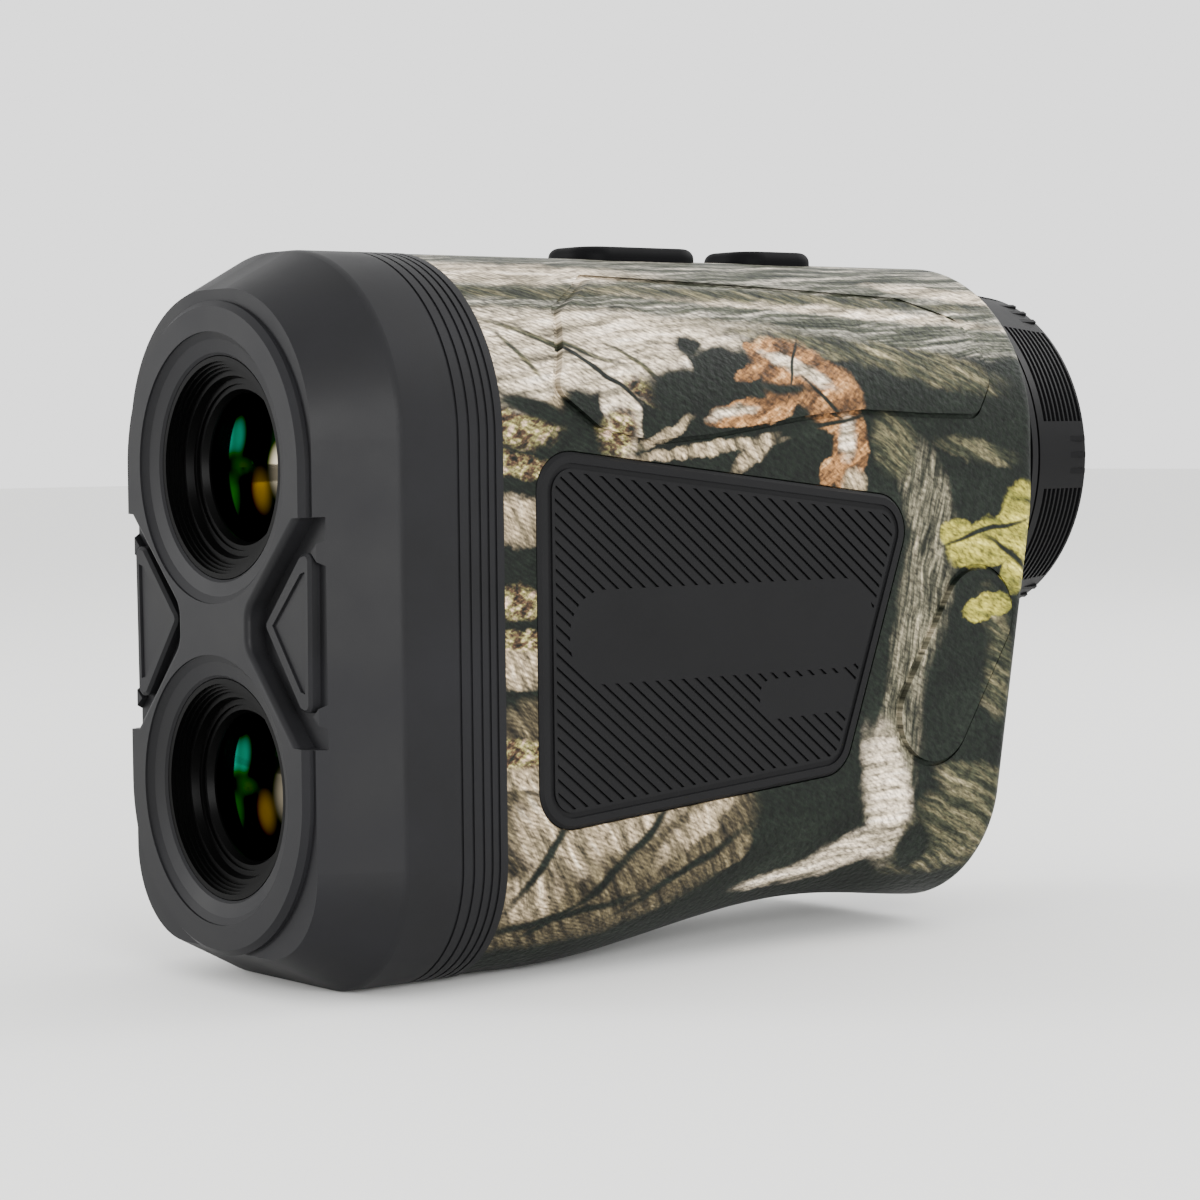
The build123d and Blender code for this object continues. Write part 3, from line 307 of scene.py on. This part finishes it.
    # dry oak leaf, olive leaf, moss, heather and the wood of the limb
    oak = streaks(5, 1.5, 30, 21.0,
                  [(0.32, "#241a0f"), (0.46, "#583c22"), (0.58, "#94693f"), (0.74, "#d3ae80")])
    olive = streaks(8, 1.3, -12, 27.0,
                    [(0.28, "#25290f"), (0.42, "#5f5d24"), (0.56, "#938b38"), (0.74, "#bdb35a")])
    moss = streaks(9, 1.1, -28, 33.0,
                   [(0.34, "#0e120b"), (0.47, "#2c2e20"), (0.58, "#57523b"), (0.72, "#8f8568")])
    heather = streaks(1.6, 1.0, 15, 41.0,
                      [(0.36, "#10130d"), (0.46, "#4a3626"), (0.55, "#7f7a4a"), (0.66, "#c9aa94")])
    limb_wood = streaks(6, 0.9, 78, 47.0,
                        [(0.34, "#11130c"), (0.46, "#37362b"), (0.58, "#696452"), (0.74, "#a99c84")])

    # the olive-beige weave at the lower front
    colour = paint(ground, weave, [(31, 12, 21, 9.5, 10), (24, 20, 7, 8, 0), (45, 13.4, 8, 3.6, 30),
                                   (50, 11, 3, 1.6, 30)])
    colour = paint(colour, beige, [(27, 14.5, 5, 3.2, -20), (37, 15.8, 6, 2, 20), (45, 14.6, 5, 1.3, 32),
                                   (24, 8.5, 3, 2.4, 0)], 0.5)
    # strip between bezel and panel: bands of beige and heather on green-black
    colour = paint(colour, beige, [(22, 46, 6, 2.3, -6), (22, 32, 6, 2.2, -6), (22, 21, 6, 1.4, -6),
                                   (22, 58.6, 6, 2.6, -6)], 0.25)
    colour = paint(colour, heather, [(22, 55.6, 5, 2.3, -6), (22, 51.3, 5, 1.0, -6), (22, 38, 5, 1.3, -6),
                                     (22, 34.4, 5, 0.9, -6), (22, 23.2, 5, 1.2, -6)], 0.35)
    # dark twigs across the weave
    colour = paint(colour, ground, [(38, 14, 4.6, 0.42, 42), (32.8, 9.5, 4.2, 0.5, 36),
                                    (27.4, 5.8, 3.4, 0.42, 32), (44, 9.7, 8, 0.5, 26),
                                    (28, 6, 10, 0.5, 9), (25.5, 12.5, 6, 0.5, 50)], 0.6, crisp)

    # the S-shaped limb behind the panel, with its bleached foot and moss at the heel
    colour = paint(colour, limb_wood, [(77.4, 46, 3.0, 6.5, 20), (76.6, 37, 3.1, 8, -10),
                                       (74.0, 27, 3.1, 9, -12), (71.6, 19, 3.2, 7, -8)], 0.4)
    colour = paint(colour, pale, [(71.4, 15, 2.6, 7.0, 14), (67.0, 8.8, 7, 2.2, 22),
                                  (60, 6.4, 6, 1.2, 10)], 0.5)
    colour = paint(colour, moss, [(81.5, 10.5, 8, 5, 24), (84, 16.5, 5, 1.4, -10),
                                  (86.5, 30, 2.6, 6, 10)], 0.4)
    # green-black fields round the thumb pad and under the middle of the panel
    colour = paint(colour, ground, [(80.5, 27, 4.4, 9, -26), (58.5, 11.5, 6, 3.8, 10),
                                    (76.6, 8.5, 2.2, 3.6, 10), (70, 30, 1.4, 8, -10)], 0.25)

    # top: streaked bark and pale lichen, darker towards the rear
    ragged_height = node(tree, "ShaderNodeSeparateXYZ", links=[("Vector", ragged)]).outputs["Y"]
    top_edge = node(tree, "ShaderNodeMapRange", {"interpolation_type": "SMOOTHSTEP"},
                    links=[("Value", ragged_height), ("From Min", TOP_START), ("From Max", TOP_FULL)])
    colour = lay(colour, bark, top_edge.outputs["Result"])
    colour = paint(colour, pale, [(34, 66, 22, 2.3, -3), (66, 69.4, 24, 0.8, -5), (28, 75.5, 16, 2.0, 0),
                                  (88, 73, 9, 1.2, -8)], 0.5)
    colour = paint(colour, moss, [(60, 71.2, 26, 0.9, -2), (28, 71.6, 10, 0.8, 0),
                                  (68, 63.2, 15, 1.3, -9)], 0.7)
    # pale leaf that hangs over the front shoulder in lobes
    colour = paint(colour, pale, [(27, 63.2, 12, 4.2, -10), (24, 60, 4.4, 3.4, 20), (36, 61.5, 7.5, 3.4, -16),
                                  (35.2, 57, 2.4, 4.8, 12), (41.5, 61.5, 3.8, 2.2, -8)])
    colour = paint(colour, heather, [(35, 54.6, 2.2, 2.2, 10), (38.5, 58.6, 2.6, 1, -20)], 0.5)
    colour = paint(colour, ground, [(32.5, 61.2, 8.5, 0.28, -36), (25, 56.6, 5.2, 1, -22),
                                    (30.4, 56.4, 2.2, 2, -50)], 0.35, crisp)
    # seams of shade along the leaf's ribs
    colour = paint(colour, moss, [(29, 64.2, 7, 0.3, -24), (38.5, 61.0, 4.5, 0.25, -40),
                                  (24.2, 62.6, 3.2, 0.3, -60)], 0.7, crisp)

    # dark gap, then the tan oak leaf with its lobes, its pale ribs and its stalk
    colour = paint(colour, ground, [(44.5, 58, 6, 2.8, -6), (70, 57.5, 7, 2.4, -8), (49.5, 61.6, 4, 2, 0),
                                    (45.5, 63.8, 1.6, 1.4, 0), (58, 53.2, 9, 2, 6)], 0.25)
    colour = paint(colour, oak, [(59.0, 61.0, 6.0, 3.4, -24), (63.0, 58.2, 5.0, 3.6, -30),
                                 (57.2, 58.9, 3.2, 2.2, 0), (52.6, 60.3, 2.4, 1.0, 20),
                                 (54.6, 63.2, 2.0, 1.1, -20), (52.0, 56.2, 6, 1.4, 6),
                                 (65.9, 52, 2.6, 4.6, -8), (63.6, 50.2, 2, 1.5, 20)])
    colour = paint(colour, pale, [(59.5, 61, 3.4, 0.7, -24), (49.6, 56.3, 2.4, 0.5, 8),
                                  (65.6, 53.5, 0.9, 1.8, -8)], 0.8)
    colour = paint(colour, beige, [(45.5, 52.6, 9, 0.6, 5), (52.8, 52.2, 3.2, 0.9, 35),
                                   (66.6, 48.6, 1.6, 1.4, 0), (41, 54.4, 3, 0.5, 24)], 0.45)
    colour = paint(colour, ground, [(60.5, 55.2, 10, 0.26, 6), (56.5, 59, 4, 0.45, -4),
                                    (62.5, 57.8, 3.4, 0.22, -40), (59, 61.4, 3.4, 0.18, 60)], 0.6, crisp)
    # moss streaks behind the leaf, along the grip pad
    colour = paint(colour, moss, [(77, 61.4, 9.5, 1.6, -14), (72.5, 52.5, 2.4, 3, 30),
                                  (85, 52, 5, 1, -10)], 0.5)

    # olive leaf at the rear, with dark ribs
    colour = paint(colour, olive, [(86.6, 42.2, 6.4, 2.6, 10), (91.8, 44.6, 3.6, 4, 0),
                                   (82, 42.8, 2.6, 1.9, 0), (90.8, 38.8, 2.4, 2.4, 0),
                                   (85.8, 35.1, 3.8, 1.3, 8)])
    colour = paint(colour, ground, [(86, 43.2, 6, 0.25, 12), (89.5, 40.5, 3.4, 0.3, -30)], 0.6, crisp)

    # the print's fine ripple, as thread-like lines a little under half a millimetre apart,
    # strongest at the front
    slant = node(tree, "ShaderNodeMapping", links=[("Vector", crisp), ("Rotation", (0, 0, math.radians(24)))])
    ripple = node(tree, "ShaderNodeTexWave", {"bands_direction": "Y"},
                  links=[("Vector", slant), ("Scale", 0.72), ("Distortion", 2.4), ("Detail", 2.0),
                         ("Detail Scale", 1.5)])
    threads = node(tree, "ShaderNodeMapRange",
                   links=[("Value", depth), ("From Min", 30.0), ("From Max", 62.0),
                          ("To Min", 0.50), ("To Max", 0.16)])
    rippled = maths("SUBTRACT", 1.12, maths("MULTIPLY", maths("SUBTRACT", 1.0, ripple), threads))
    # darker in the grain's furrows and lighter on its crests: painted shade and painted light of the grain's
    # relief; the grain runs slantwise
    grain = node(tree, "ShaderNodeMapping", {"vector_type": "TEXTURE"},
                 links=[("Vector", flat), ("Rotation", (0, 0, math.radians(-32))),
                        ("Scale", (0.95, 0.42, 1))])
    furrows = node(tree, "ShaderNodeTexNoise", links=[("Vector", grain), ("Scale", 1.0), ("Detail", 3.0),
                                                      ("Roughness", 0.6)])
    ink = node(tree, "ShaderNodeMapRange", links=[("Value", furrows), ("From Min", 0.34), ("From Max", 0.66),
                                                  ("To Min", 0.36), ("To Max", 1.60)])
    ripple_and_painted_grain_shade = maths("MULTIPLY", rippled, ink.outputs["Result"])
    # the print's colours, scaled by its ripple and by the painted shade and light of the grain
    printed = node(tree, "ShaderNodeVectorMath", {"operation": "SCALE"},
                   links=[(0, colour), ("Scale", ripple_and_painted_grain_shade)])
    tree.links.new(printed.outputs[0], shader.inputs["Base Color"])

    # leather-like grain, cells 0.75 mm across, drawn a little coarse so that it shows
    cells = node(tree, "ShaderNodeTexVoronoi", {"feature": "SMOOTH_F1"},
                 links=[("Vector", where), ("Scale", 1 / (0.75 * MM)), ("Smoothness", 0.7)])
    fine = node(tree, "ShaderNodeTexNoise", links=[("Vector", where), ("Scale", 1 / (0.35 * MM)),
                                                   ("Detail", 2.0)])
    relief = maths("ADD", maths("MULTIPLY_ADD", fine, 0.5, cells.outputs["Distance"]), furrows)
    bump = node(tree, "ShaderNodeBump", links=[("Height", relief), ("Strength", 0.6),
                                               ("Distance", 0.14 * MM)])
    tree.links.new(bump.outputs["Normal"], shader.inputs["Normal"])
    shader.inputs["Roughness"].default_value = 0.55
    shader.inputs["IOR"].default_value = 1.5
    shader.inputs["Specular IOR Level"].default_value = 0.14
    return made


camo = camouflage()

# ------------------------------------------------------------------ which piece has which finish
FINISHES = {
    "front_bezel": bezel_rubber, "left_shell": camo, "right_shell": camo,
    "left_side_panel": panel_rubber, "right_side_panel": panel_rubber,
    "power_button": key_rubber, "mode_button": key_rubber, "eyecup": grip_rubber,
    "eyepiece_tube": tube_plastic, "diopter_ring": tube_plastic, "battery_cap": tube_plastic,
    "upper_barrel": black_anodised, "lower_barrel": black_anodised,
    "upper_retaining_ring": black_anodised, "lower_retaining_ring": black_anodised,
    "ocular_cell": black_anodised, "eye_ring": black_anodised,
    "objective_lens": front_glass, "field_flattener_lens": front_glass, "receiver_lens": receiver_glass,
    "eye_lens": eye_glass, "field_lens": clear_glass, "roof_prism": clear_glass,
    "half_penta_prism": clear_glass, "reticle_display": clear_glass,
    "strap_pin": dark_steel, "shell_screws": dark_steel, "board_screws": dark_steel,
    "cap_contact": bright_steel, "contact_spring": bright_steel, "laser_diode": bright_steel,
    "apd_detector": bright_steel, "button_board": board_green, "receiver_board": board_green,
    "main_board": board_green,
}
for name in nodes:
    finish_node(name, FINISHES.get(name, inner_plastic))

# ------------------------------------------------------------------ studio
FLOOR_HALF = 3.0        # m, half the floor's side

floor_mesh = bpy.data.meshes.new("studio_floor")
shape = bmesh.new()
bmesh.ops.create_grid(shape, x_segments=1, y_segments=1, size=FLOOR_HALF)
shape.to_mesh(floor_mesh)
shape.free()
floor = bpy.data.objects.new("studio_floor", floor_mesh)
bpy.context.scene.collection.objects.link(floor)
# Matt white card: pale, without any shine
floor_mesh.materials.append(plain("paper_white", "#e8e8e6", 0.9))

world = bpy.data.worlds.new("studio")
bpy.context.scene.world = world
world.use_nodes = True
sky = world.node_tree.nodes["Background"]
sky.inputs["Color"].default_value = linear("#ffffff")
sky.inputs["Strength"].default_value = 1.9


def softbox(name, place, size, watts):
    """Plain rectangular soft light that looks at the middle of the object."""
    data = bpy.data.lights.new(name, "AREA")
    data.shape = "RECTANGLE"
    data.size, data.size_y = size
    data.energy = watts
    lamp = bpy.data.objects.new(name, data)
    bpy.context.scene.collection.objects.link(lamp)
    towards = MIDDLE - Vector(place)
    lamp.matrix_world = Matrix.Translation(place) @ towards.to_track_quat("-Z", "Y").to_matrix().to_4x4()


softbox("key_softbox", (0.66, -0.26, 0.16), (0.26, 0.36), 7.0)
softbox("window_softbox", (-0.45, -0.55, 0.22), (0.26, 0.34), 4.0)
softbox("rear_softbox", (0.10, 0.60, 0.45), (0.50, 0.30), 3.0)

# camera: long lens, nearly level, with the front of the object towards the left of the view
CAMERA_PLACE = Vector((0.2772, -0.2209, 0.0544))
FOCAL_LENGTH = 99.0     # mm, on a sensor 36 mm wide
AZIMUTH, ELEVATION, ROLL = math.radians(51.917), math.radians(2.899), math.radians(-0.623)
back = Vector((math.sin(AZIMUTH) * math.cos(ELEVATION), -math.cos(AZIMUTH) * math.cos(ELEVATION),
               math.sin(ELEVATION)))
right = Vector((math.cos(AZIMUTH), math.sin(AZIMUTH), 0))
up = back.cross(right)
view_right = math.cos(ROLL) * right + math.sin(ROLL) * up
view_up = math.cos(ROLL) * up - math.sin(ROLL) * right
camera_data = bpy.data.cameras.new("camera")
camera_data.sensor_width = 36.0
camera_data.lens = FOCAL_LENGTH
camera_data.clip_start = 0.01
camera = bpy.data.objects.new("camera", camera_data)
bpy.context.scene.collection.objects.link(camera)
turned = Matrix((view_right, view_up, back)).transposed().to_4x4()
camera.matrix_world = Matrix.Translation(CAMERA_PLACE) @ turned
bpy.context.scene.camera = camera
